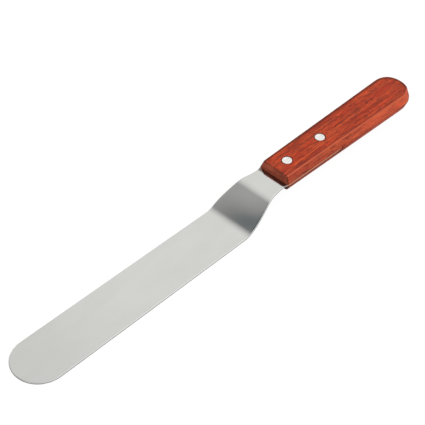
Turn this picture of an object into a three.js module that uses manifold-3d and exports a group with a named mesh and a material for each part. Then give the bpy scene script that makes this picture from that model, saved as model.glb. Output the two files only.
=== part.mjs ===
// Offset spatula: a stainless strip blade with a cranked neck, its half-length tang seated in
// the saw kerf of a one-piece hardwood handle and held by two compression rivets.
//
// Frame: millimetres, +Z up. The blade's underside lies on Z = 0, +X runs from the blade's round
// tip to the handle's butt, Y is across the blade. The origin is the middle of the overall length.
// Inside the assembly group, X is the station: the distance from the tip.

import * as THREE from 'three';
import { mergeVertices } from 'three/addons/utils/BufferGeometryUtils.js';
import Module from 'manifold-3d';

// ---- Driving dimensions ------------------------------------------------------------------

const OVERALL_LENGTH = 325.2;

// Blade strip
const STEEL = 1.2; // sheet thickness
const TIP_HALF_WIDTH = 17.1; // the tip is a full half round of this radius
const SHOULDER_HALF_WIDTH = 16.4;
const SHOULDER_STATION = 169; // where the straight edges end and the neck starts to narrow
const NECK_HALF_WIDTH = 11;
const NECK_STATION = 200.5; // the narrowest point, just in front of the handle
const NECK_HOLD = [8.5, 9.5]; // how long the neck's curve holds the direction of each end

// Crank: the neck climbs from the blade to the tang
const CRANK_STATION = 164.5; // where the upper faces of blade and ramp would meet
const CRANK_RISE = 13;
const CRANK_ANGLE = THREE.MathUtils.degToRad(29);
const BEND_RADIUS = 12; // inside radius of both bends

// Tang
const TANG_ROOT_STATION = 206; // the tang reaches the handle's width here
const TANG_ROOT_HALF_WIDTH = 11.85;
const TANG_END_STATION = 254;
const TANG_END_HALF_WIDTH = 12.5;
const TANG_CORNER = 2.5;

// Handle: six-sided section, with flats above and below and a ridge all round at the kerf
const KERF_TO_TOP = 6.1;
const KERF_TO_BOTTOM = 5.4;
const REAR_STATION = 312; // the straight sides end and the round butt starts
const FLAT = {
  front: 204.8,
  frontHalfWidth: 9.75,
  corner: 1,
  rearHalfWidth: 11.45,
  end: 323.4,
  buttHold: [7.2, 7.4],
};
const RIDGE = {
  front: 203.5,
  frontHalfWidth: 11.9,
  corner: 1.8,
  rearHalfWidth: 13.4,
  end: OVERALL_LENGTH,
  buttHold: [7.8, 8.2],
};

// Rivets, each a solid pin pressed into a tube
const RIVET_STATIONS = { front: 215.3, rear: 245.3 };
const HEAD_RADIUS = 3.175;
const HEAD_THICKNESS = 1.3;
const TUBE_RADIUS = 2.0;
const TUBE_BORE_RADIUS = 1.3;
const PIN_RADIUS = 1.2;
const TUBE_CLEAR_OF_HEAD = 0.6;
const PIN_CLEAR_OF_BORE_END = 0.5;

// Fits
const KERF_GAP = 0.1; // above and below the tang, and past its end
const HOLE_GAP = 0.1; // round each rivet and its heads

// ---- Values worked out from them ---------------------------------------------------------

const TANG_TOP = CRANK_RISE + STEEL;
const KERF_LEVEL = CRANK_RISE + STEEL / 2;
const HANDLE_TOP = KERF_LEVEL + KERF_TO_TOP;
const HANDLE_BOTTOM = KERF_LEVEL - KERF_TO_BOTTOM;

const TIP_SEGMENTS = 40;
const BEND_SEGMENTS = 10;
const OUTLINE_SEGMENTS = 12; // in each curve of the handle's outlines
const ROUND_SEGMENTS = 40;
const WELD_TOLERANCE = 1e-4; // vertices closer than this are one vertex
const OVERRUN = 5; // how far a cutting tool runs past what it cuts

// ---- Materials ---------------------------------------------------------------------------

const steel = new THREE.MeshStandardMaterial({ color: 0xc9cac6, roughness: 0.32, metalness: 1 });
const rosewood = new THREE.MeshStandardMaterial({ color: 0xa84a30, roughness: 0.5, metalness: 0 });
const aluminium = new THREE.MeshStandardMaterial({ color: 0xe6e7e6, roughness: 0.3, metalness: 1 });

// ---- Joining and cutting -----------------------------------------------------------------

const wasm = await Module();
wasm.setup();

function toSolid(geometry) {
  const bare = geometry.clone();
  bare.deleteAttribute('normal');
  bare.deleteAttribute('uv');
  const merged = mergeVertices(bare, WELD_TOLERANCE);
  return new wasm.Manifold(new wasm.Mesh({
    numProp: 3,
    vertProperties: merged.attributes.position.array,
    triVerts: new Uint32Array(merged.index.array),
  }));
}

function toGeometry(solid) {
  const mesh = solid.getMesh();
  const geometry = new THREE.BufferGeometry();
  geometry.setAttribute('position', new THREE.BufferAttribute(mesh.vertProperties, 3));
  geometry.setIndex(new THREE.BufferAttribute(mesh.triVerts, 1));
  geometry.computeVertexNormals();
  return geometry;
}

// A round solid standing on +Z, from its half section as [radius, height] points, bottom first.
function turned(profile) {
  const points = profile.map(([radius, height]) => new THREE.Vector2(radius, height));
  return new THREE.LatheGeometry(points, ROUND_SEGMENTS).rotateX(Math.PI / 2);
}

function cylinderSolid(station, radius, bottom, top) {
  const profile = [[0, bottom], [radius, bottom], [radius, top], [0, top]];
  return toSolid(turned(profile).translate(station, 0, 0));
}

// ---- Blade -------------------------------------------------------------------------------

// The outline seen from above: half-round tip, slightly tapered edges, neck and tang.
function bladeOutline() {
  const outline = new THREE.Shape();
  const [shoulderHold, neckHold] = NECK_HOLD;
  const rootHold = (TANG_ROOT_STATION - NECK_STATION) / 2;
  outline.absarc(TIP_HALF_WIDTH, 0, TIP_HALF_WIDTH, Math.PI / 2, 1.5 * Math.PI, false);
  outline.lineTo(SHOULDER_STATION, -SHOULDER_HALF_WIDTH);
  outline.bezierCurveTo(
    SHOULDER_STATION + shoulderHold, -SHOULDER_HALF_WIDTH,
    NECK_STATION - neckHold, -NECK_HALF_WIDTH,
    NECK_STATION, -NECK_HALF_WIDTH,
  );
  outline.bezierCurveTo(
    NECK_STATION + rootHold, -NECK_HALF_WIDTH,
    TANG_ROOT_STATION - rootHold, -TANG_ROOT_HALF_WIDTH,
    TANG_ROOT_STATION, -TANG_ROOT_HALF_WIDTH,
  );
  outline.lineTo(TANG_END_STATION - TANG_CORNER, -TANG_END_HALF_WIDTH);
  outline.quadraticCurveTo(
    TANG_END_STATION, -TANG_END_HALF_WIDTH,
    TANG_END_STATION, -TANG_END_HALF_WIDTH + TANG_CORNER,
  );
  outline.lineTo(TANG_END_STATION, TANG_END_HALF_WIDTH - TANG_CORNER);
  outline.quadraticCurveTo(
    TANG_END_STATION, TANG_END_HALF_WIDTH,
    TANG_END_STATION - TANG_CORNER, TANG_END_HALF_WIDTH,
  );
  outline.lineTo(TANG_ROOT_STATION, TANG_ROOT_HALF_WIDTH);
  outline.bezierCurveTo(
    TANG_ROOT_STATION - rootHold, TANG_ROOT_HALF_WIDTH,
    NECK_STATION + rootHold, NECK_HALF_WIDTH,
    NECK_STATION, NECK_HALF_WIDTH,
  );
  outline.bezierCurveTo(
    NECK_STATION - neckHold, NECK_HALF_WIDTH,
    SHOULDER_STATION + shoulderHold, SHOULDER_HALF_WIDTH,
    SHOULDER_STATION, SHOULDER_HALF_WIDTH,
  );
  return outline;
}

// The strip seen from the side: flat blade, bend up, ramp, bend level, flat tang.
function stripSection() {
  const section = new THREE.Shape();
  const down = -Math.PI / 2;
  const up = Math.PI / 2;
  const outer = BEND_RADIUS + STEEL;
  const lowerBend = CRANK_STATION - BEND_RADIUS * Math.tan(CRANK_ANGLE / 2);
  const bendRise = (BEND_RADIUS + outer) * (1 - Math.cos(CRANK_ANGLE));
  const rampRun = (CRANK_RISE - bendRise) / Math.tan(CRANK_ANGLE);
  const upperBend = lowerBend + (BEND_RADIUS + outer) * Math.sin(CRANK_ANGLE) + rampRun;
  const end = TANG_END_STATION + OVERRUN;
  section.moveTo(-OVERRUN, 0);
  section.lineTo(lowerBend, 0);
  section.absarc(lowerBend, outer, outer, down, down + CRANK_ANGLE, false);
  section.absarc(upperBend, CRANK_RISE - BEND_RADIUS, BEND_RADIUS, up + CRANK_ANGLE, up, true);
  section.lineTo(end, CRANK_RISE);
  section.lineTo(end, TANG_TOP);
  section.absarc(upperBend, CRANK_RISE - BEND_RADIUS, outer, up, up + CRANK_ANGLE, false);
  section.absarc(lowerBend, outer, BEND_RADIUS, down + CRANK_ANGLE, down, true);
  section.lineTo(-OVERRUN, STEEL);
  return section;
}

// The bent strip, cut to the outline and drilled for the rivet tubes.
function bladeGeometry() {
  const fromAbove = new THREE.ExtrudeGeometry(bladeOutline(), {
    depth: TANG_TOP + 2 * OVERRUN, bevelEnabled: false, curveSegments: TIP_SEGMENTS,
  }).translate(0, 0, -OVERRUN);
  const stripWidth = 2 * (TIP_HALF_WIDTH + OVERRUN);
  const fromSide = new THREE.ExtrudeGeometry(stripSection(), {
    depth: stripWidth, bevelEnabled: false, curveSegments: BEND_SEGMENTS,
  }).rotateX(Math.PI / 2).translate(0, stripWidth / 2, 0);
  let blade = toSolid(fromAbove).intersect(toSolid(fromSide));
  for (const station of Object.values(RIVET_STATIONS)) {
    blade = blade.subtract(cylinderSolid(station, TUBE_RADIUS + HOLE_GAP, 0, HANDLE_TOP));
  }
  return toGeometry(blade);
}

// ---- Handle ------------------------------------------------------------------------------

// One outline of the handle seen from above: eased front corners, tapered sides, round butt.
// buttHold is how long each end of the butt's curve holds its direction.
function handleOutline({ front, frontHalfWidth, corner, rearHalfWidth, end, buttHold }) {
  const outline = new THREE.Shape();
  const [sideHold, endHold] = buttHold;
  const buttStart = REAR_STATION + sideHold;
  outline.moveTo(front, -frontHalfWidth + corner);
  outline.quadraticCurveTo(front, -frontHalfWidth, front + corner, -frontHalfWidth);
  outline.lineTo(REAR_STATION, -rearHalfWidth);
  outline.bezierCurveTo(buttStart, -rearHalfWidth, end, -endHold, end, 0);
  outline.bezierCurveTo(end, endHold, buttStart, rearHalfWidth, REAR_STATION, rearHalfWidth);
  outline.lineTo(front + corner, frontHalfWidth);
  outline.quadraticCurveTo(front, frontHalfWidth, front, frontHalfWidth - corner);
  return outline.getPoints(OUTLINE_SEGMENTS);
}

// A solid through outlines with equally many points, each at its own height, from the bottom up.
function loft(levels) {
  const count = levels[0].outline.length;
  const positions = levels.flatMap(({ outline, height }) => (
    outline.flatMap((point) => [point.x, point.y, height])
  ));
  const index = [];
  for (let level = 0; level < levels.length - 1; level += 1) {
    for (let k = 0; k < count; k += 1) {
      const low = level * count + k;
      const lowNext = level * count + (k + 1) % count;
      index.push(low, lowNext, lowNext + count, low, lowNext + count, low + count);
    }
  }
  const top = (levels.length - 1) * count;
  for (const [a, b, c] of THREE.ShapeUtils.triangulateShape(levels[0].outline, [])) {
    index.push(c, b, a, top + a, top + b, top + c);
  }
  const geometry = new THREE.BufferGeometry();
  geometry.setAttribute('position', new THREE.Float32BufferAttribute(positions, 3));
  geometry.setIndex(index);
  return geometry;
}

// The blank, then sawn and counterbored.
function handleGeometry() {
  const kerf = STEEL + 2 * KERF_GAP;
  const flat = handleOutline(FLAT);
  const ridge = handleOutline(RIDGE);
  const blank = loft([
    { outline: flat, height: HANDLE_BOTTOM },
    { outline: ridge, height: KERF_LEVEL - kerf / 2 },
    { outline: ridge, height: KERF_LEVEL + kerf / 2 },
    { outline: flat, height: HANDLE_TOP },
  ]);
  const kerfStart = RIDGE.front - OVERRUN;
  const kerfLength = TANG_END_STATION + KERF_GAP - kerfStart;
  const saw = new THREE.BoxGeometry(kerfLength, 4 * TIP_HALF_WIDTH, kerf)
    .translate(kerfStart + kerfLength / 2, 0, KERF_LEVEL);
  let handle = toSolid(blank).subtract(toSolid(saw));
  for (const station of Object.values(RIVET_STATIONS)) {
    const seatDepth = HEAD_THICKNESS + HOLE_GAP;
    const seatRadius = HEAD_RADIUS + HOLE_GAP;
    handle = handle
      .subtract(cylinderSolid(station, TUBE_RADIUS + HOLE_GAP, 0, HANDLE_TOP + OVERRUN))
      .subtract(cylinderSolid(station, seatRadius, HANDLE_TOP - seatDepth, HANDLE_TOP + OVERRUN))
      .subtract(cylinderSolid(station, seatRadius, 0, HANDLE_BOTTOM + seatDepth));
  }
  return toGeometry(handle);
}

// ---- Rivets ------------------------------------------------------------------------------

const BORE_END = HANDLE_BOTTOM + HEAD_THICKNESS;

// The lower half: a head with a tube that is open at its upper end.
function rivetTubeGeometry() {
  const tubeTop = HANDLE_TOP - HEAD_THICKNESS - TUBE_CLEAR_OF_HEAD;
  return turned([
    [0, HANDLE_BOTTOM],
    [HEAD_RADIUS, HANDLE_BOTTOM],
    [HEAD_RADIUS, HANDLE_BOTTOM + HEAD_THICKNESS],
    [TUBE_RADIUS, HANDLE_BOTTOM + HEAD_THICKNESS],
    [TUBE_RADIUS, tubeTop],
    [TUBE_BORE_RADIUS, tubeTop],
    [TUBE_BORE_RADIUS, BORE_END],
    [0, BORE_END],
  ]);
}

// The upper half: a head with the pin that presses down into the tube.
function rivetPinGeometry() {
  const pinBottom = BORE_END + PIN_CLEAR_OF_BORE_END;
  return turned([
    [0, pinBottom],
    [PIN_RADIUS, pinBottom],
    [PIN_RADIUS, HANDLE_TOP - HEAD_THICKNESS],
    [HEAD_RADIUS, HANDLE_TOP - HEAD_THICKNESS],
    [HEAD_RADIUS, HANDLE_TOP],
    [0, HANDLE_TOP],
  ]);
}

// ---- Assembly ----------------------------------------------------------------------------

function namedMesh(name, geometry, material) {
  const mesh = new THREE.Mesh(geometry, material);
  mesh.name = name;
  return mesh;
}

const assembly = new THREE.Group();
assembly.add(namedMesh('blade', bladeGeometry(), steel));
assembly.add(namedMesh('handle', handleGeometry(), rosewood));
for (const [place, station] of Object.entries(RIVET_STATIONS)) {
  const rivet = new THREE.Group();
  rivet.add(namedMesh(`rivet_pin_${place}`, rivetPinGeometry(), aluminium));
  rivet.add(namedMesh(`rivet_tube_${place}`, rivetTubeGeometry(), aluminium));
  rivet.position.x = station;
  assembly.add(rivet);
}
assembly.position.x = -OVERALL_LENGTH / 2;

const offsetSpatula = new THREE.Group();
offsetSpatula.add(assembly);

export default offsetSpatula;
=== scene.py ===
"""Offset spatula: a cranked steel blade, a riveted hardwood handle, a white studio and the camera.

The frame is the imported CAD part. X runs from the blade's tip to the handle's butt, Y is across the
blade and Z is up, with the blade's underside on Z = 0. Lengths are in metres, and MM converts them.
"""
import math
from collections import namedtuple

import bpy
import numpy as np
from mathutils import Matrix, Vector


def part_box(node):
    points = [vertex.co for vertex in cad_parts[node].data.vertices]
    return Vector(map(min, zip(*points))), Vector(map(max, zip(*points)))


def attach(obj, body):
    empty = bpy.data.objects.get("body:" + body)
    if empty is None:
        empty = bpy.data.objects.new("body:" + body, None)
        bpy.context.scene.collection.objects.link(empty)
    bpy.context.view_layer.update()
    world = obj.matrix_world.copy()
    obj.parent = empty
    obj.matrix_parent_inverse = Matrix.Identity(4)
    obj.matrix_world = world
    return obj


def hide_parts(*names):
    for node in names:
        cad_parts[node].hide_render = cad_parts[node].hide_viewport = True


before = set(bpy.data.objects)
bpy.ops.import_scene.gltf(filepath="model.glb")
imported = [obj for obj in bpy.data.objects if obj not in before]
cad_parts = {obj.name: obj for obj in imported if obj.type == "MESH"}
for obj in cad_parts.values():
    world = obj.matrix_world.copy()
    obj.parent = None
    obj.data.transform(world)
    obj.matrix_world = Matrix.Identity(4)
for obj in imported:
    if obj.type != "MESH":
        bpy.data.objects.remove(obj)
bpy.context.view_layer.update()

MM = 0.001

# ---- Dimensions --------------------------------------------------------------------------------

BLADE_LOW, BLADE_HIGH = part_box("blade")
HANDLE_LOW, HANDLE_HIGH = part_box("handle")

# Blade strip. A point of its outline is a station, its X, and the half width there. A hold is how
# far a curve keeps to its end's direction.
TIP = BLADE_LOW.x
TIP_RADIUS = BLADE_HIGH.y
STEEL = 1.2 * MM
EDGE_ROUNDING = 0.42 * MM
SHOULDER = (TIP + 169 * MM, 16.4 * MM)
NECK = (TIP + 200.5 * MM, 11 * MM)
NECK_HOLD = (8.5 * MM, 9.5 * MM)
TANG_ROOT = (TIP + 206 * MM, 11.85 * MM)
TANG_END = (BLADE_HIGH.x, 12.5 * MM)
TANG_CORNER = 2.5 * MM

# Crank
CRANK = TIP + 164.5 * MM
CRANK_RISE = BLADE_HIGH.z - STEEL
CRANK_ANGLE = math.radians(29)
BEND_RADIUS = 12 * MM
LOWER_BEND = CRANK - BEND_RADIUS * math.tan(CRANK_ANGLE / 2)  # where the flat blade ends
BENDS = 2 * BEND_RADIUS + STEEL  # the radii of both bends, measured along one face
RAMP_RUN = (CRANK_RISE - BENDS * (1 - math.cos(CRANK_ANGLE))) / math.tan(CRANK_ANGLE)
UPPER_BEND = LOWER_BEND + BENDS * math.sin(CRANK_ANGLE) + RAMP_RUN  # where the tang starts
RAMP_SWELL = 0.36 * MM  # a bent strip's ramp is steepest after its lower bend,
CRANK_CROWN = 0.35 * MM  # and falls away towards both edges

# Handle: an outline for the flats above and below, and a wider one for the ridge at the kerf.
# From its front it tapers out to REAR, where the round butt starts.
KERF_LEVEL = CRANK_RISE + STEEL / 2
KERF_LIPS = (0.62 * MM, 0.7 * MM)  # how far the kerf's upper and lower lips are from its level
KERF_END = BLADE_HIGH.x + 0.1 * MM
REAR = TIP + 312 * MM
FLAT = {"front": TIP + 204.8 * MM, "half_width": 9.75 * MM, "corner": 1 * MM,
        "rear_half_width": 11.45 * MM, "end": TIP + 323.4 * MM, "hold": (7.2 * MM, 7.4 * MM)}
RIDGE = {"front": HANDLE_LOW.x, "half_width": 11.9 * MM, "corner": 1.8 * MM,
         "rear_half_width": HANDLE_HIGH.y, "end": HANDLE_HIGH.x, "hold": (7.8 * MM, 8.2 * MM)}
FACET_RUN = RIDGE["rear_half_width"] - FLAT["rear_half_width"]
FLAT_EASING = 0.5 * MM  # the rounding of the flats' edges
LIP_EASING = 0.12 * MM
SEAT_EASING = 0.3 * MM  # the chamfer round each rivet head

# Rivets
RIVETS = ("front", "rear")
HEAD_THICKNESS = 1.3 * MM
HEAD_ROUNDING = 0.22 * MM
DISH_DEPTH = 0.2 * MM
DISH_SHARE = 0.62  # of the head's radius
TUBE_RADIUS = 2 * MM
TUBE_BORE_RADIUS = 1.3 * MM
PIN_RADIUS = 1.2 * MM
PIN_ROUNDING = 0.3 * MM
HOLE_GAP = 0.1 * MM


def rivet_box(place):
    """The centre and half width of a rivet's heads, from the CAD pin."""
    low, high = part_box(f"rivet_pin_{place}")
    return (low + high) / 2, (high.x - low.x) / 2


# ---- Curves ------------------------------------------------------------------------------------


def bezier(start, start_hold, end_hold, end, segments):
    """Points of a cubic Bezier curve after its start."""
    t = np.linspace(0, 1, segments + 1)[1:, None]
    points = [np.array(p, float) for p in (start, start_hold, end_hold, end)]
    weights = ((1 - t) ** 3, 3 * t * (1 - t) ** 2, 3 * t**2 * (1 - t), t**3)
    return sum(w * p for w, p in zip(weights, points))


def rounded(before, corner, after, radius, segments=6):
    """Points of an arc that rounds a corner between two straight lines."""
    corner = np.array(corner, float)
    back = np.array(before, float) - corner
    on = np.array(after, float) - corner
    back /= np.linalg.norm(back)
    on /= np.linalg.norm(on)
    half_angle = math.acos(float(np.clip(back @ on, -1, 1))) / 2
    centre = corner + (back + on) / np.linalg.norm(back + on) * radius / math.sin(half_angle)
    reach = radius / math.tan(half_angle)
    first, last = corner + back * reach - centre, corner + on * reach - centre
    t = np.linspace(0, 1, segments + 1)[:, None]
    turn = math.pi - 2 * half_angle
    arc = (np.sin((1 - t) * turn) * first + np.sin(t * turn) * last) / math.sin(turn)
    return centre + arc


def travelled(points):
    """The distance along a polyline to each of its points."""
    steps = np.linalg.norm(np.diff(points, axis=0), axis=1)
    return np.concatenate([[0], np.cumsum(steps)])


def along(points, distances):
    """Points of a polyline at the given distances from its start."""
    known = travelled(points)
    return np.stack([np.interp(distances, known, points[:, k]) for k in (0, 1)], axis=1)


def distance_at(points, station):
    """How far along a polyline its X first reaches a station."""
    return float(np.interp(station, points[:, 0], travelled(points)))


def outward(loop):
    """The outward unit normal at each point of a closed loop that runs anticlockwise."""
    tangent = np.roll(loop, -1, axis=0) - np.roll(loop, 1, axis=0)
    normal = np.stack([tangent[:, 1], -tangent[:, 0]], axis=1)
    return normal / np.linalg.norm(normal, axis=1)[:, None]


# ---- Outlines ----------------------------------------------------------------------------------

HANDLE_CORNER_POINTS = 6  # from a closed end to the first or last row


class Outline:
    """A shape seen from above, symmetric about the X axis, sampled for a grid of quads.

    half is its -Y side, from the front end's middle to the back end's middle. It has ends points
    that close the front, as far as X = front, then corner points round to the first station, then
    one at each station, and likewise from the last station round to the back end's middle.
    """

    def __init__(self, dense, front, back, stations, corner, ends=14):
        first, last = distance_at(dense, front), distance_at(dense, back)
        total = float(travelled(dense)[-1])
        sides = [distance_at(dense, x) for x in stations]
        samples = np.concatenate([
            np.linspace(0, first, ends, endpoint=False),
            np.linspace(first, sides[0], corner, endpoint=False),
            sides,
            np.linspace(last, sides[-1], corner, endpoint=False)[::-1],
            np.linspace(total, last, ends, endpoint=False)[::-1],
        ])
        self.half = along(dense, samples) * (1, -1)
        self.ends = ends
        self.loop = np.concatenate([self.half, self.half[-2:0:-1] * (1, -1)])
        self.normals = outward(self.loop)

    def offset(self, distance):
        """The loop moved outward."""
        return self.loop + self.normals * distance


def spaced(start, end, coarse, fine, fine_from, fine_to):
    """X values from start to end, close together between fine_from and fine_to."""
    values = [start]
    while values[-1] < end:
        x = values[-1]
        gap = max(fine_from - x, x - fine_to, 0)
        values.append(x + min(coarse, fine + gap / 4))
    return values


def blade_outline():
    """The strip's outline: half-round tip, shoulders, neck, and the tang with rounded corners."""
    angles = np.linspace(0, math.pi / 2, 60)
    tip = np.stack([TIP + TIP_RADIUS * (1 - np.cos(angles)), TIP_RADIUS * np.sin(angles)], axis=1)
    root_hold = (TANG_ROOT[0] - NECK[0]) / 2
    end_x, _ = TANG_END
    dense = np.concatenate([
        tip,
        [SHOULDER],
        bezier(SHOULDER, (SHOULDER[0] + NECK_HOLD[0], SHOULDER[1]),
               (NECK[0] - NECK_HOLD[1], NECK[1]), NECK, 40),
        bezier(NECK, (NECK[0] + root_hold, NECK[1]),
               (TANG_ROOT[0] - root_hold, TANG_ROOT[1]), TANG_ROOT, 12),
        rounded(TANG_ROOT, TANG_END, (end_x, 0), TANG_CORNER, 10),
        [(end_x, 0)],
    ])
    round_tip = math.radians(55)  # how far round the tip its closing points go
    front = TIP + TIP_RADIUS * (1 - math.cos(round_tip))
    back = end_x - TANG_CORNER * 0.4
    xs = spaced(front, back, coarse=4 * MM, fine=0.5 * MM,
                fine_from=CRANK - 6 * MM, fine_to=TANG_ROOT[0])
    return Outline(dense, front, back, [x for x in xs if front < x < back], corner=1)


def handle_stations():
    """The X values of the handle's rows, one of them at the kerf's end, and that one's number."""
    start = FLAT["front"] + FLAT["corner"]
    xs = spaced(start, REAR, coarse=2.5 * MM, fine=0.5 * MM, fine_from=start, fine_to=start)
    xs[-1] = REAR
    nearest = min(range(len(xs)), key=lambda k: abs(xs[k] - KERF_END))
    xs[nearest] = KERF_END
    return xs, nearest


def handle_outline(shape, xs):
    """An outline of the handle: eased front corners, tapered sides and a round butt."""
    front, half_width, corner = shape["front"], shape["half_width"], shape["corner"]
    rear, (side_hold, end_hold) = (REAR, shape["rear_half_width"]), shape["hold"]
    eased = ((front, half_width - corner), (front + corner, half_width))
    dense = np.concatenate([
        [(front, 0), eased[0]],
        bezier(eased[0], (front, half_width - corner / 3),
               (front + corner / 3, half_width), eased[1], 12),
        [rear],
        bezier(rear, (REAR + side_hold, rear[1]), (shape["end"], end_hold), (shape["end"], 0), 60),
    ])
    last_full_row = REAR + 7.5 * MM
    return Outline(dense, front + corner * 0.3, last_full_row, xs, HANDLE_CORNER_POINTS)


# ---- Mesh building -----------------------------------------------------------------------------

SHARP_ANGLE = math.radians(35)


def row_between(front_row, back_row, x, y):
    """The inner points of a row across a shape at X = x, whose near end is at Y = y.

    Near the front row or the back row it takes up some of that row's shape.
    """
    front_x, front_y = front_row[0]
    back_x, back_y = back_row[0]
    t = (x - front_x) / (back_x - front_x)
    fade = 2 * abs(front_y)
    front_share = max(0, 1 - (x - front_x) / fade) ** 2
    back_share = max(0, 1 - (back_x - x) / fade) ** 2
    spread = (1 - t) * front_row[:, 1] / front_y + t * back_row[:, 1] / back_y
    xs = x + front_share * (front_row[:, 0] - front_x) + back_share * (back_row[:, 0] - back_x)
    return np.stack([xs, spread * y], axis=1)[1:-1]


class Shell:
    """A closed mesh grown from rings of equally many points, capped by patches of quads."""

    def __init__(self, outline):
        self.ends = outline.ends
        self.half_count = len(outline.half)
        self.vertices = []
        self.faces = []

    def ring(self, points, height):
        """Adds points at the height that height(x, y) gives, and returns their numbers."""
        first = len(self.vertices)
        self.vertices.extend((x, y, height(x, y)) for x, y in points)
        return list(range(first, len(self.vertices)))

    def places(self, numbers):
        """The X and Y of the vertices with those numbers."""
        return np.array([self.vertices[k][:2] for k in numbers])

    def band(self, upper, lower, wanted=lambda k: True):
        """Quads between two rings, at each place round the loop that is wanted."""
        count = len(upper)
        for k in range(count):
            after = (k + 1) % count
            if wanted(k):
                self.faces.append((upper[k], lower[k], lower[after], upper[after]))

    def patch(self, ring, height, facing_up=True, last_row=None):
        """Fills a ring with rows across the shape, each from its -Y to its +Y side.

        With last_row, only the front of the ring is filled, as far as that row. Returns the rows.
        """
        near = ring[: self.half_count]
        far = [ring[-k % len(ring)] for k in range(self.half_count)]
        a, b = self.ends, self.half_count - 1 - self.ends
        front = near[a::-1] + far[1 : a + 1]
        back = near[b:] + far[-2 : b - 1 : -1]
        xy, front_xy, back_xy = (self.places(numbers) for numbers in (near, front, back))
        rows = [front]
        for k in range(a + 1, b if last_row is None else a + last_row + 1):
            inner = row_between(front_xy, back_xy, *xy[k])
            rows.append([near[k], *self.ring(inner, height), far[k]])
        if last_row is None:
            rows.append(back)
        for row, following in zip(rows, rows[1:]):
            for j in range(len(row) - 1):
                quad = (row[j], following[j], following[j + 1], row[j + 1])
                self.faces.append(quad if facing_up else quad[::-1])
        return rows

    def to_object(self, name):
        return mesh_object(name, self.vertices, self.faces)


def mesh_object(name, vertices, faces):
    """A smooth-shaded object whose edges stay sharp above SHARP_ANGLE."""
    mesh = bpy.data.meshes.new(name)
    mesh.from_pydata([tuple(map(float, v)) for v in vertices], [], faces)
    mesh.validate()
    mesh.shade_smooth()
    mesh.set_sharp_from_angle(angle=SHARP_ANGLE)
    obj = bpy.data.objects.new(name, mesh)
    bpy.context.scene.collection.objects.link(obj)
    return obj


def turned(name, profile, centre, segments=96):
    """A solid of revolution about a vertical axis, from (radius, height) points, bottom first.

    The profile starts and ends on the axis.
    """
    angles = [2 * math.pi * k / segments for k in range(segments)]
    vertices = [(centre.x, centre.y, profile[0][1])]
    for radius, height in profile[1:-1]:
        for a in angles:
            vertices.append(
                (centre.x + radius * math.cos(a), centre.y + radius * math.sin(a), height))
    vertices.append((centre.x, centre.y, profile[-1][1]))
    top = len(vertices) - 1
    faces = []
    for k in range(segments):
        after = (k + 1) % segments
        faces.append((0, 1 + after, 1 + k))
        for r in range(len(profile) - 3):
            low, high = 1 + r * segments, 1 + (r + 1) * segments
            faces.append((low + k, low + after, high + after, high + k))
        last = 1 + (len(profile) - 3) * segments
        faces.append((last + k, last + after, top))
    return mesh_object(name, vertices, faces)


def bore(obj, centre, profile):
    """Cuts a turned shape out of an object, with its result applied to the mesh."""
    cutter = turned("cutter", profile, centre)
    modifier = obj.modifiers.new("bore", "BOOLEAN")
    modifier.operation = "DIFFERENCE"
    modifier.object = cutter
    bpy.context.view_layer.update()
    graph = bpy.context.evaluated_depsgraph_get()
    mesh = bpy.data.meshes.new_from_object(obj.evaluated_get(graph))
    obj.modifiers.clear()
    obj.data = mesh
    mesh.shade_smooth()
    mesh.set_sharp_from_angle(angle=SHARP_ANGLE)
    bpy.data.objects.remove(cutter)


def weigh_normals(obj):
    """Keeps large flats flat beside their rounded edges."""
    modifier = obj.modifiers.new("flat_normals", "WEIGHTED_NORMAL")
    modifier.keep_sharp = True


# ---- Blade -------------------------------------------------------------------------------------


def crank_level(x, lower_radius, upper_radius, start_level):
    """Height at a station of one face of the strip: flat, bend up, ramp, bend level, flat."""
    end_level = start_level + CRANK_RISE
    ramp_start = LOWER_BEND + lower_radius * math.sin(CRANK_ANGLE)
    if x <= LOWER_BEND:
        return start_level
    if x <= ramp_start:
        return start_level + lower_radius - math.sqrt(lower_radius**2 - (x - LOWER_BEND) ** 2)
    if x < UPPER_BEND - upper_radius * math.sin(CRANK_ANGLE):
        ramp_level = start_level + lower_radius * (1 - math.cos(CRANK_ANGLE))
        return ramp_level + (x - ramp_start) * math.tan(CRANK_ANGLE)
    if x < UPPER_BEND:
        return end_level - upper_radius + math.sqrt(upper_radius**2 - (UPPER_BEND - x) ** 2)
    return end_level


def strip_level(share):
    """Height of the strip at (x, y), at a share of its thickness from the underside."""
    def level(x, y):
        underside = crank_level(x, BEND_RADIUS + STEEL, BEND_RADIUS, 0)
        upper_face = crank_level(x, BEND_RADIUS, BEND_RADIUS + STEEL, STEEL)
        along_crank = min(max((x - LOWER_BEND) / (UPPER_BEND - LOWER_BEND), 0), 1)
        spring = RAMP_SWELL - CRANK_CROWN * (y / TIP_RADIUS) ** 2
        return (underside + share * (upper_face - underside)
                + spring * math.sin(math.pi * along_crank) ** 2)
    return level


def make_blade():
    """The strip with rounded edges, drilled for the rivets."""
    outline = blade_outline()
    shell = Shell(outline)
    # A section is how far a ring is outside the outline, and how high it is, in thicknesses
    upper_edge = rounded((-1, 1), (0, 1), (0, 0), EDGE_ROUNDING / STEEL, 6)
    lower_edge = upper_edge[::-1] * (1, -1) + (0, 1)
    rings = [
        shell.ring(outline.offset(out * STEEL), strip_level(share))
        for out, share in (*upper_edge, *lower_edge)
    ]
    for upper, lower in zip(rings, rings[1:]):
        shell.band(upper, lower)
    shell.patch(rings[0], strip_level(1))
    shell.patch(rings[-1], strip_level(0), facing_up=False)
    blade = shell.to_object("blade_strip")
    hole = TUBE_RADIUS + HOLE_GAP
    for place in RIVETS:
        centre, _ = rivet_box(place)
        bore(blade, centre, [(0, 0), (hole, 0), (hole, HANDLE_HIGH.z), (0, HANDLE_HIGH.z)])
    weigh_normals(blade)
    return blade


# ---- Handle ------------------------------------------------------------------------------------


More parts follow.
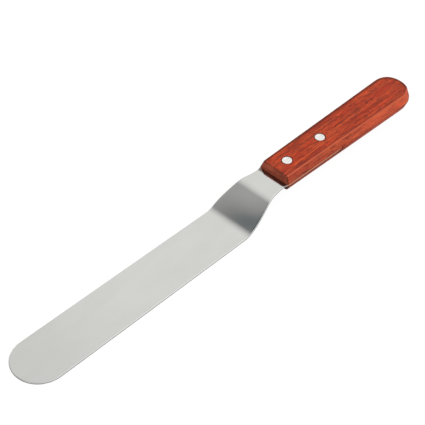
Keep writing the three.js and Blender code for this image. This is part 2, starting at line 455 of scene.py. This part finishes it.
def handle_section(rise, lip_height):
    """Reaches and heights over the kerf, from a flat that far from it, outward to the kerf's lip.

    A reach is how far out from the flat's edge a ring is: 0 at the edge and FACET_RUN at the ridge.
    """
    lip = (FACET_RUN, lip_height)
    edge = (0, rise)
    facet = [(1 - t) * np.array(edge) + t * np.array(lip) for t in (0.4, 0.8)]
    return [
        *rounded((-1, rise), edge, lip, FLAT_EASING),
        *facet,
        *rounded(edge, lip, (0, lip_height), LIP_EASING, 3),
    ]


def handle_half(shell, flat, ridge, section, side):
    """Bands between a flat and the kerf's lip, above the kerf on side 1 and below it on side -1.

    Returns the ring at the flat and the ring at the lip.
    """
    rings = []
    for reach, height in section:
        share = max(reach, 0) / FACET_RUN
        points = flat.offset(min(reach, 0)) + share * (ridge.loop - flat.loop)
        rings.append(shell.ring(points, lambda x, y, z=KERF_LEVEL + side * height: z))
    downward = rings if side > 0 else rings[::-1]
    for upper, lower in zip(downward, downward[1:]):
        shell.band(upper, lower)
    return rings[0], rings[-1]


def make_handle():
    """The six-sided block with its saw kerf, bored and counterbored for the rivets."""
    xs, kerf_station = handle_stations()
    flat, ridge = handle_outline(FLAT, xs), handle_outline(RIDGE, xs)
    shell = Shell(flat)
    lip_above, lip_below = KERF_LIPS
    above = handle_section(HANDLE_HIGH.z - KERF_LEVEL, lip_above)
    below = handle_section(KERF_LEVEL - HANDLE_LOW.z, lip_below)
    top, upper_lip = handle_half(shell, flat, ridge, above, 1)
    bottom, lower_lip = handle_half(shell, flat, ridge, below, -1)
    shell.patch(top, lambda x, y: HANDLE_HIGH.z)
    shell.patch(bottom, lambda x, y: HANDLE_LOW.z, facing_up=False)

    # Behind the kerf the lips join. The kerf has a ceiling, a floor and an end.
    kerf_row = HANDLE_CORNER_POINTS + kerf_station
    row_point = shell.ends + kerf_row
    shell.band(upper_lip, lower_lip, lambda k: row_point <= k < len(upper_lip) - row_point)
    ceiling = shell.patch(upper_lip, lambda x, y: KERF_LEVEL + lip_above, False, kerf_row)
    floor = shell.patch(lower_lip, lambda x, y: KERF_LEVEL - lip_below, True, kerf_row)
    for j in range(len(floor[-1]) - 1):
        shell.faces.append((floor[-1][j], ceiling[-1][j], ceiling[-1][j + 1], floor[-1][j + 1]))
    handle = shell.to_object("handle_block")

    for place in RIVETS:
        centre, head_radius = rivet_box(place)
        bore(handle, centre, seat_profile(head_radius + HOLE_GAP))
    weigh_normals(handle)
    return handle


def seat_profile(radius):
    """A through hole for the tube, with a counterbore and a chamfered rim at each end."""
    depth = HEAD_THICKNESS + HOLE_GAP
    past = 2 * MM
    tube = TUBE_RADIUS + HOLE_GAP
    lower = [
        (0, HANDLE_LOW.z - past),
        (radius + SEAT_EASING + past, HANDLE_LOW.z - past),
        (radius, HANDLE_LOW.z + SEAT_EASING),
        (radius, HANDLE_LOW.z + depth),
        (tube, HANDLE_LOW.z + depth),
    ]
    upper = [(r, HANDLE_LOW.z + HANDLE_HIGH.z - z) for r, z in reversed(lower)]
    return lower + upper


# ---- Rivets ------------------------------------------------------------------------------------


def head_profile(radius, face):
    """A head's outer face as (radius, height), with a rounded rim and a shallow dish."""
    rim = rounded((radius, face - HEAD_THICKNESS), (radius, face), (0, face), HEAD_ROUNDING, 5)
    dish = [
        (DISH_SHARE * radius * math.cos(t), face - DISH_DEPTH * math.sin(t))
        for t in np.linspace(0, math.pi / 2, 10)
    ]
    return [*map(tuple, rim), *dish[:-1], (0, face - DISH_DEPTH)]


def make_rivet_pin(place):
    """The pin half: a round-pointed pin under a head that is flush with the handle's top."""
    centre, radius = rivet_box(place)
    low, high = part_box(f"rivet_pin_{place}")
    shoulder = high.z - HEAD_THICKNESS
    point = rounded((0, low.z), (PIN_RADIUS, low.z), (PIN_RADIUS, high.z), PIN_ROUNDING, 4)
    profile = [(0, low.z), *map(tuple, point), (PIN_RADIUS, shoulder), (radius, shoulder),
               *head_profile(radius, high.z)]
    return turned(f"rivet_pin_{place}_head", profile, centre)


def make_rivet_tube(place):
    """The tube half: a head that is flush with the handle's underside, and the tube over it."""
    centre, radius = rivet_box(place)
    low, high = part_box(f"rivet_tube_{place}")
    bore_end = low.z + HEAD_THICKNESS
    face = [(r, 2 * low.z - z) for r, z in reversed(head_profile(radius, low.z))]
    profile = [*face, (radius, bore_end), (TUBE_RADIUS, bore_end), (TUBE_RADIUS, high.z),
               (TUBE_BORE_RADIUS, high.z), (TUBE_BORE_RADIUS, bore_end), (0, bore_end)]
    return turned(f"rivet_tube_{place}_head", profile, centre)


# ---- Node graphs -------------------------------------------------------------------------------


class Graph:
    """A node tree, with short names for the nodes that the finishes and the studio use."""

    def __init__(self, tree):
        self.tree = tree

    def node(self, kind, **settings):
        made = self.tree.nodes.new(kind)
        for key, value in settings.items():
            setattr(made, key, value)
        return made

    def feed(self, socket, value):
        """Links an output to a socket, or sets the socket to a constant."""
        if isinstance(value, bpy.types.NodeSocket):
            self.tree.links.new(value, socket)
        else:
            socket.default_value = value

    def math(self, operation, a, b=0.0):
        node = self.node("ShaderNodeMath", operation=operation)
        self.feed(node.inputs[0], a)
        self.feed(node.inputs[1], b)
        return node.outputs[0]

    def times(self, a, b):
        return self.math("MULTIPLY", a, b)

    def plus(self, a, b):
        return self.math("ADD", a, b)

    def vector(self, operation, a, b=(0, 0, 0)):
        node = self.node("ShaderNodeVectorMath", operation=operation)
        self.feed(node.inputs[0], a)
        self.feed(node.inputs[1], b)
        return node.outputs["Value" if operation in ("LENGTH", "DOT_PRODUCT") else "Vector"]

    def component(self, vector, axis):
        node = self.node("ShaderNodeSeparateXYZ")
        self.feed(node.inputs[0], vector)
        return node.outputs[axis]

    def span(self, value, low, high, to_low=0.0, to_high=1.0):
        """Maps low..high to to_low..to_high smoothly, and holds the ends."""
        node = self.node("ShaderNodeMapRange", interpolation_type="SMOOTHSTEP")
        for key, number in (("Value", value), ("From Min", low), ("From Max", high),
                            ("To Min", to_low), ("To Max", to_high)):
            self.feed(node.inputs[key], number)
        return node.outputs[0]

    def mix(self, share, a, b):
        """Colour a where the share is 0, and colour b where it is 1."""
        node = self.node("ShaderNodeMix", data_type="RGBA")
        self.feed(node.inputs["Factor"], share)
        colour_a, colour_b = (s for s in node.inputs if s.type == "RGBA")
        self.feed(colour_a, a if isinstance(a, bpy.types.NodeSocket) else (*a, 1))
        self.feed(colour_b, b if isinstance(b, bpy.types.NodeSocket) else (*b, 1))
        return next(s for s in node.outputs if s.type == "RGBA")

    def scaled(self, colour, factor):
        node = self.node("ShaderNodeVectorMath", operation="SCALE")
        self.feed(node.inputs[0], colour)
        self.feed(node.inputs["Scale"], factor)
        return node.outputs["Vector"]


class Finish(Graph):
    """A material's node tree, with its shader and the position and normal on the object."""

    def __init__(self, name):
        self.material = bpy.data.materials.new(name)
        self.material.use_nodes = True
        super().__init__(self.material.node_tree)
        self.shader = self.tree.nodes["Principled BSDF"]
        self.position = self.node("ShaderNodeTexCoord").outputs["Object"]
        self.normal = self.node("ShaderNodeNewGeometry").outputs["Normal"]
        separate = self.node("ShaderNodeSeparateXYZ")
        self.feed(separate.inputs[0], self.position)
        self.x, self.y, self.z = separate.outputs

    def noise(self, per_mm, detail=2.0, roughness=0.5, distortion=0.0, turn=0.0, shift=0.0):
        """Noise with per_mm features in each millimetre of X, Y and Z, turned about Z."""
        mapping = self.node("ShaderNodeMapping", vector_type="TEXTURE")
        self.feed(mapping.inputs["Vector"], self.position)
        mapping.inputs["Rotation"].default_value = (0, 0, math.radians(turn))
        mapping.inputs["Scale"].default_value = [MM / n for n in per_mm]
        mapping.inputs["Location"].default_value = (shift * MM, shift * MM, shift * MM)
        node = self.node("ShaderNodeTexNoise")
        self.feed(node.inputs["Vector"], mapping.outputs[0])
        node.inputs["Scale"].default_value = 1
        node.inputs["Detail"].default_value = detail
        node.inputs["Roughness"].default_value = roughness
        node.inputs["Distortion"].default_value = distortion
        return node.outputs["Fac"]

    def bump(self, height, depth, strength=1.0):
        """A bump of that depth in metres at height 1."""
        node = self.node("ShaderNodeBump")
        node.inputs["Strength"].default_value = strength
        node.inputs["Distance"].default_value = depth
        self.feed(node.inputs["Height"], height)
        return node.outputs[0]

    def finish(self, **inputs):
        """Feeds the shader's sockets, named as in Blender with _ for a space."""
        for key, value in inputs.items():
            socket = self.shader.inputs[key.replace("_", " ")]
            self.feed(socket, (*value, 1) if isinstance(value, tuple) else value)
        return self.material


# ---- Materials ---------------------------------------------------------------------------------

NOISE = (0.3, 0.7)  # the range that nearly all of a noise is in

# Colours, in linear light. A pair is the two ends of a range.
STEEL_FACES = ((0.61, 0.61, 0.587), (0.63, 0.63, 0.612))
STEEL_EDGE_AND_SHADE = (0.5, 0.5, 0.49)
TANG_EDGE = (1, 0.43, 0.24)  # stained by the wood that it is polished with
STEEL_HANDLE_REFLECTION_SHADE = (0.12, 0.06, 0.045)
WOOD = ((0.375, 0.028, 0.005), (0.485, 0.062, 0.013))
WOOD_FIGURE = (0.20, 0.022, 0.009)
WOOD_FLECKS = (0.15, 0.018, 0.009)
WOOD_FACET_LIGHT = (0.43, 0.12, 0.068)
WOOD_END_GRAIN = (0.24, 0.075, 0.045)
WOOD_CORNER_SHADE = (0.06, 0.015, 0.010)
WOOD_FAR_RIM_SHADE = (0.10, 0.023, 0.012)
WOOD_NEAR_RIM_SHADE = (0.22, 0.020, 0.008)
WOOD_NEAR_HIGHLIGHT = (0.60, 0.115, 0.050)
RIVET_RING_SHADE = (0.035, 0.008, 0.006)
KERF_SHADE = (0.035, 0.010, 0.007)
ALUMINIUM = ((0.86, 0.84, 0.81), (0.76, 0.74, 0.71))
TABLE = (0.55, 0.55, 0.55)


def steel_material():
    """Satin stainless sheet, brushed lengthwise, with duller edges that carry painted shade, and
    painted shade and reflection at the handle and tip.
    """
    g = Finish("satin_steel")
    brushing = g.noise((0.02, 6, 6), detail=3, roughness=0.6)
    clouds = g.noise((0.03, 0.08, 0.08), detail=2)
    scratches = g.span(g.noise((0.05, 3.2, 3.2), detail=2, turn=4), 0.66, 0.72)
    on_face = g.span(g.math("ABSOLUTE", g.component(g.normal, "Z")), 0.3, 0.6)
    on_tang = g.span(g.x, HANDLE_LOW.x - 1 * MM, HANDLE_LOW.x + 0.5 * MM)
    # Painted reflection and shade: the handle's dark front mirrored in the steel just before it, and
    # the shade at its foot
    handle_reflection_shade = g.span(g.x, HANDLE_LOW.x - 3 * MM, HANDLE_LOW.x - 1.9 * MM, 0, 0.8)
    # Painted shade: the steel is darker towards the tip
    tip_shade = g.span(g.x, TIP, TIP + 90 * MM, 0.9, 1)

    colour = g.scaled(g.mix(g.span(clouds, *NOISE), *STEEL_FACES), tip_shade)
    colour = g.mix(handle_reflection_shade, colour, STEEL_HANDLE_REFLECTION_SHADE)
    # The edges are duller, darker sheared steel, and their darkness is also painted shade where the
    # blade meets the table
    colour = g.mix(on_face, g.mix(on_tang, STEEL_EDGE_AND_SHADE, TANG_EDGE), colour)
    roughness = g.plus(g.span(brushing, *NOISE, 0.07, 0.11), g.times(scratches, 0.05))
    roughness = g.plus(roughness, g.span(on_face, 0, 1, 0.25, 0))
    height = g.plus(brushing, g.times(scratches, -0.5))
    return g.finish(Base_Color=colour, Metallic=1.0, Roughness=roughness,
                    Normal=g.bump(height, 0.002 * MM))


def rosewood_material():
    """Oiled reddish hardwood, with painted shade at its edges, rivets and kerf, and painted light.
    """
    g = Finish("oiled_rosewood")
    fibres = g.noise((0.12, 1.8, 1.8), detail=3, roughness=0.7, turn=-1)
    flecks = g.span(g.noise((0.3, 1.8, 1.8), detail=3, roughness=0.6, shift=7), 0.56, 0.62)
    far_rim_shade, near_rim_shade, near_highlight = rims(g)
    colour = on_ends(g, grain(g, fibres, flecks))
    # Painted shade round the rivets and along the flats' rims, and a painted highlight along the
    # near edge
    for mask, strength, tint in (
        (near_rivets(g), 0.75, RIVET_RING_SHADE),
        (far_rim_shade, 0.68, WOOD_FAR_RIM_SHADE),
        (near_rim_shade, 0.4, WOOD_NEAR_RIM_SHADE),
        (near_highlight, 0.8, WOOD_NEAR_HIGHLIGHT),
    ):
        colour = g.mix(g.times(mask, strength), colour, tint)
    # Painted shade beside and under the tang, and at the handle's foot
    colour = g.mix(kerf_shade(g), colour, KERF_SHADE)

    roughness = g.plus(g.span(fibres, *NOISE, 0.36, 0.5), g.times(flecks, 0.2))
    roughness = g.plus(roughness, g.times(far_rim_shade, 0.35))
    height = g.math("SUBTRACT", g.times(fibres, 0.5), flecks)
    return g.finish(Base_Color=colour, Roughness=roughness, Specular_IOR_Level=0.16,
                    Normal=g.bump(height, 0.03 * MM, 0.6))


def grain(g, fibres, flecks):
    """The wood's colour along its length: bands, streaks, fibres, dark figure and dark flecks, with
    painted light on the sides.
    """
    bands = g.noise((0.03, 0.4, 0.4), detail=3, distortion=0.3, turn=1)
    streaks = g.noise((0.05, 1.2, 1.2), detail=4, roughness=0.65, distortion=0.2, turn=1)
    figure = g.span(g.noise((0.1, 0.4, 0.4), detail=4, roughness=0.65, shift=31), 0.52, 0.68)
    facet = g.span(g.math("ABSOLUTE", g.component(g.normal, "Y")), 0.6, 0.9)

    light = g.times(g.span(streaks, *NOISE, 0.64, 1.4), g.span(fibres, *NOISE, 0.62, 1.38))
    colour = g.scaled(g.mix(g.span(bands, *NOISE), *WOOD), light)
    # Painted light: the sloping sides are paler and pinker, most towards the butt, where light and
    # the table's reflection fall on them
    rear_facet_light = g.span(g.x, TIP + 230 * MM, TIP + 290 * MM, 0.96, 1.3)
    colour = g.mix(facet, colour, g.scaled(g.mix(0.3, colour, WOOD_FACET_LIGHT), rear_facet_light))
    # The dark grain fades out on the sloping sides near the butt
    fading = g.times(facet, g.span(g.x, TIP + 265 * MM, TIP + 295 * MM, 0, 0.55))
    strength = g.math("SUBTRACT", 0.7, fading)
    colour = g.mix(g.times(figure, strength), colour, WOOD_FIGURE)
    return g.mix(g.times(flecks, strength), colour, WOOD_FLECKS)


def on_ends(g, colour):
    """Adds dull end grain with saw marks across it, and painted shade as a dark line down the
    front's corners.
    """
    saw_marks = g.span(g.noise((1, 0.12, 0.95), detail=2, roughness=0.6), 0.38, 0.62, 0.76, 1.3)
    end_grain = g.scaled(g.mix(0.6, colour, WOOD_END_GRAIN), saw_marks)
    forward = g.times(g.component(g.normal, "X"), -1.0)
    colour = g.mix(g.span(g.math("ABSOLUTE", forward), 0.6, 0.9), colour, end_grain)
    corner = g.times(g.span(forward, 0.25, 0.5), g.span(forward, 0.75, 0.93, 1, 0))
    return g.mix(g.times(corner, 0.85), colour, WOOD_CORNER_SHADE)


def inside_flat(g):
    """How far a point is inside the edge of the flats, which taper and end in a half circle."""
    taper = (FLAT["rear_half_width"] - FLAT["half_width"]) / (REAR - FLAT["front"])
    half_width = g.plus(g.times(g.x, taper), FLAT["rear_half_width"] - REAR * taper)
    past_rear = g.math("MAXIMUM", g.math("SUBTRACT", g.x, REAR), 0.0)
    out = g.math("SQRT", g.plus(g.math("POWER", past_rear, 2.0), g.math("POWER", g.y, 2.0)))
    return g.math("SUBTRACT", half_width, out)


def on_flat(g):
    """1 on the flats above and below, with their rounded edges."""
    middle = (HANDLE_LOW.z + HANDLE_HIGH.z) / 2
    away = g.math("ABSOLUTE", g.math("SUBTRACT", g.z, middle))
    return g.span(away, HANDLE_HIGH.z - middle - 0.9 * MM, HANDLE_HIGH.z - middle - 0.5 * MM)


def rims(g):
    """Masks along the flats' edges: painted shade on the far rim, and on the -Y side painted shade
    and a painted highlight.
    """
    inside, flat = inside_flat(g), on_flat(g)
    near = g.times(g.math("LESS_THAN", g.y, 0.0), g.math("LESS_THAN", g.x, REAR + 8 * MM))
    near_flat = g.times(near, flat)
    far_flat = g.times(g.math("SUBTRACT", 1.0, near), flat)
    far_rim_shade = g.times(g.span(inside, 0.9 * MM, 2.6 * MM, 1, 0), far_flat)
    near_rim_shade = g.times(g.span(inside, 1 * MM, 2.6 * MM, 1, 0), near_flat)
    near_highlight = g.times(g.span(inside, 0.2 * MM, 0.7 * MM, 1, 0), near_flat)
    return far_rim_shade, near_rim_shade, near_highlight


def kerf_shade(g):
    """How much painted shade the wood gets beside the kerf: most on the lower front, least just
    behind it.
    """
    below = g.span(g.z, KERF_LEVEL - 0.5 * MM, KERF_LEVEL, 1, 0)
    front = g.span(g.component(g.normal, "X"), -0.9, -0.6, 0.6, 0)
    away = g.math("ABSOLUTE", g.math("SUBTRACT", g.z, KERF_LEVEL))
    beside = g.times(g.span(away, 0.8 * MM, 1.7 * MM, 1, 0), g.math("MAXIMUM", below, front))
    strength = g.math("MINIMUM", g.span(g.x, TIP + 214 * MM, TIP + 224 * MM, 0.15, 0.5),
                      g.span(g.x, BLADE_HIGH.x - 2 * MM, BLADE_HIGH.x, 0.5, 0.35))
    foot = g.span(g.x, HANDLE_LOW.x + 1 * MM, HANDLE_LOW.x + 4 * MM, 0.75, 0)
    return g.math("MAXIMUM", g.times(beside, strength), g.times(foot, below))


def near_rivets(g):
    """1 in the ring of wood with painted shade round each rivet head, falling to 0 just outside it.
    """
    rings = 0.0
    for place in RIVETS:
        centre, radius = rivet_box(place)
        away = g.vector("SUBTRACT", g.position, tuple(centre))
        away = g.vector("LENGTH", g.vector("MULTIPLY", away, (1, 1, 0)))
        ring = g.span(away, radius + 0.1 * MM, radius + 0.9 * MM, 1, 0)
        rings = g.math("MAXIMUM", ring, rings)
    return rings


def rivet_material():
    """Aluminium, turned on its face and polished with the handle."""
    g = Finish("rivet_aluminium")
    wear = g.noise((1.5, 1.5, 1.5), detail=3)
    turning = g.noise((9, 9, 0.5), detail=2)
    colour = g.mix(g.span(wear, 0.35, 0.7), *ALUMINIUM)
    roughness = g.span(wear, *NOISE, 0.12, 0.26)
    return g.finish(Base_Color=colour, Metallic=1.0, Roughness=roughness,
                    Normal=g.bump(turning, 0.004 * MM))


# ---- Studio ------------------------------------------------------------------------------------

TABLE_REACH = 3.0
TABLE_LEVEL = -0.05 * MM  # just under the blade
TABLE_GLOW = 1.12
TABLE_GLOW_SHARE = 0.85  # of what the camera sees; the rest is the table's own light and shade

# A box has all of its radiance within its core angle, and none beyond its reach, in degrees. They
# are: the one that the flat blade mirrors, one on the -Y side, two beyond the tip, and a dark flag
# that the steepest part of the crank mirrors.
SoftBox = namedtuple("SoftBox", "azimuth elevation core reach radiance")
SOFT_BOXES = (
    SoftBox(azimuth=44, elevation=38, core=3, reach=72, radiance=0.95),
    SoftBox(azimuth=-65, elevation=29, core=38, reach=70, radiance=1.15),
    SoftBox(azimuth=-165, elevation=28, core=16, reach=42, radiance=1.2),
    SoftBox(azimuth=140, elevation=22, core=10, reach=30, radiance=0.65),
    SoftBox(azimuth=148, elevation=53.5, core=3, reach=14, radiance=-0.64),
)
ROOM_RADIANCE = 0.08  # before the boxes add to it
DARKEST_RADIANCE = 0.13  # after the flag has taken from it
SHADE_RADIANCE = (0.03, 0.4)  # the light is cool below the first, and neutral above the second
SHADE_COLOUR = (0.78, 1, 1.11)

# The camera was fitted to the photograph's outline of the tool
CAMERA_TARGET = Vector((2.769 * MM, 14.364 * MM, 0))
CAMERA_AZIMUTH = -135.318
CAMERA_ELEVATION = 44.282
CAMERA_DISTANCE = 0.84705
SENSOR_MILLIMETRES = 36
LENS_MILLIMETRES = 118.6


def direction(azimuth, elevation):
    """A unit vector towards an azimuth, in degrees from +X towards +Y, and an elevation."""
    a, e = math.radians(azimuth), math.radians(elevation)
    return Vector((math.cos(a) * math.cos(e), math.sin(a) * math.cos(e), math.sin(e)))


def make_floor():
    """A white table that stays nearly white to the camera, with a faint contact shadow."""
    corners = [(x * TABLE_REACH, y * TABLE_REACH, TABLE_LEVEL)
               for x, y in ((-1, -1), (1, -1), (1, 1), (-1, 1))]
    floor = mesh_object("floor", corners, [(0, 1, 2, 3)])
    g = Finish("white_table")
    g.finish(Base_Color=TABLE, Roughness=0.9)
    glow = g.node("ShaderNodeEmission")
    glow.inputs["Strength"].default_value = TABLE_GLOW
    mixed = g.node("ShaderNodeMixShader")
    seen = g.node("ShaderNodeLightPath").outputs["Is Camera Ray"]
    g.feed(mixed.inputs["Fac"], g.times(seen, TABLE_GLOW_SHARE))
    g.feed(mixed.inputs[1], g.shader.outputs[0])
    g.feed(mixed.inputs[2], glow.outputs[0])
    g.feed(g.tree.nodes["Material Output"].inputs["Surface"], mixed.outputs[0])
    floor.data.materials.append(g.material)


def make_world():
    """A dim room with soft boxes. The camera itself sees a white sweep."""
    world = bpy.data.worlds.new("studio")
    bpy.context.scene.world = world
    world.use_nodes = True
    g = Graph(world.node_tree)
    g.tree.nodes.clear()
    ray = g.node("ShaderNodeTexCoord").outputs["Generated"]
    radiance = ROOM_RADIANCE
    for box in SOFT_BOXES:
        facing = g.vector("DOT_PRODUCT", ray, direction(box.azimuth, box.elevation))
        fade = (math.cos(math.radians(box.reach)), math.cos(math.radians(box.core)))
        radiance = g.plus(g.span(facing, *fade, 0, box.radiance), radiance)
    seen = g.node("ShaderNodeLightPath").outputs["Is Camera Ray"]
    neutral = g.math("MAXIMUM", g.span(radiance, *SHADE_RADIANCE), seen)
    strength = g.math("MAXIMUM", g.math("MAXIMUM", radiance, DARKEST_RADIANCE), seen)
    background = g.node("ShaderNodeBackground")
    g.feed(background.inputs["Color"], g.mix(neutral, SHADE_COLOUR, (1, 1, 1)))
    g.feed(background.inputs["Strength"], strength)
    output = g.node("ShaderNodeOutputWorld")
    g.feed(output.inputs["Surface"], background.outputs[0])


def make_camera():
    """Looks down from beside the blade's tip, as in the photograph."""
    back = direction(CAMERA_AZIMUTH, CAMERA_ELEVATION)
    data = bpy.data.cameras.new("camera")
    data.sensor_width = SENSOR_MILLIMETRES
    data.lens = LENS_MILLIMETRES
    camera = bpy.data.objects.new("camera", data)
    camera.location = CAMERA_TARGET + back * CAMERA_DISTANCE
    camera.rotation_mode = "QUATERNION"
    camera.rotation_quaternion = (-back).to_track_quat("-Z", "Y")
    bpy.context.scene.collection.objects.link(camera)
    bpy.context.scene.camera = camera


# ---- Assembly ----------------------------------------------------------------------------------


def install(piece, node, material):
    """Gives a piece its material, hides the CAD part that it stands for, and puts it in its body."""
    piece.data.materials.clear()
    piece.data.materials.append(material)
    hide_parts(node)
    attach(piece, "root")


make_camera()
make_world()
make_floor()
bpy.context.scene.view_settings.view_transform = "Standard"

install(make_blade(), "blade", steel_material())
install(make_handle(), "handle", rosewood_material())
aluminium = rivet_material()
for place in RIVETS:
    install(make_rivet_pin(place), f"rivet_pin_{place}", aluminium)
    install(make_rivet_tube(place), f"rivet_tube_{place}", aluminium)
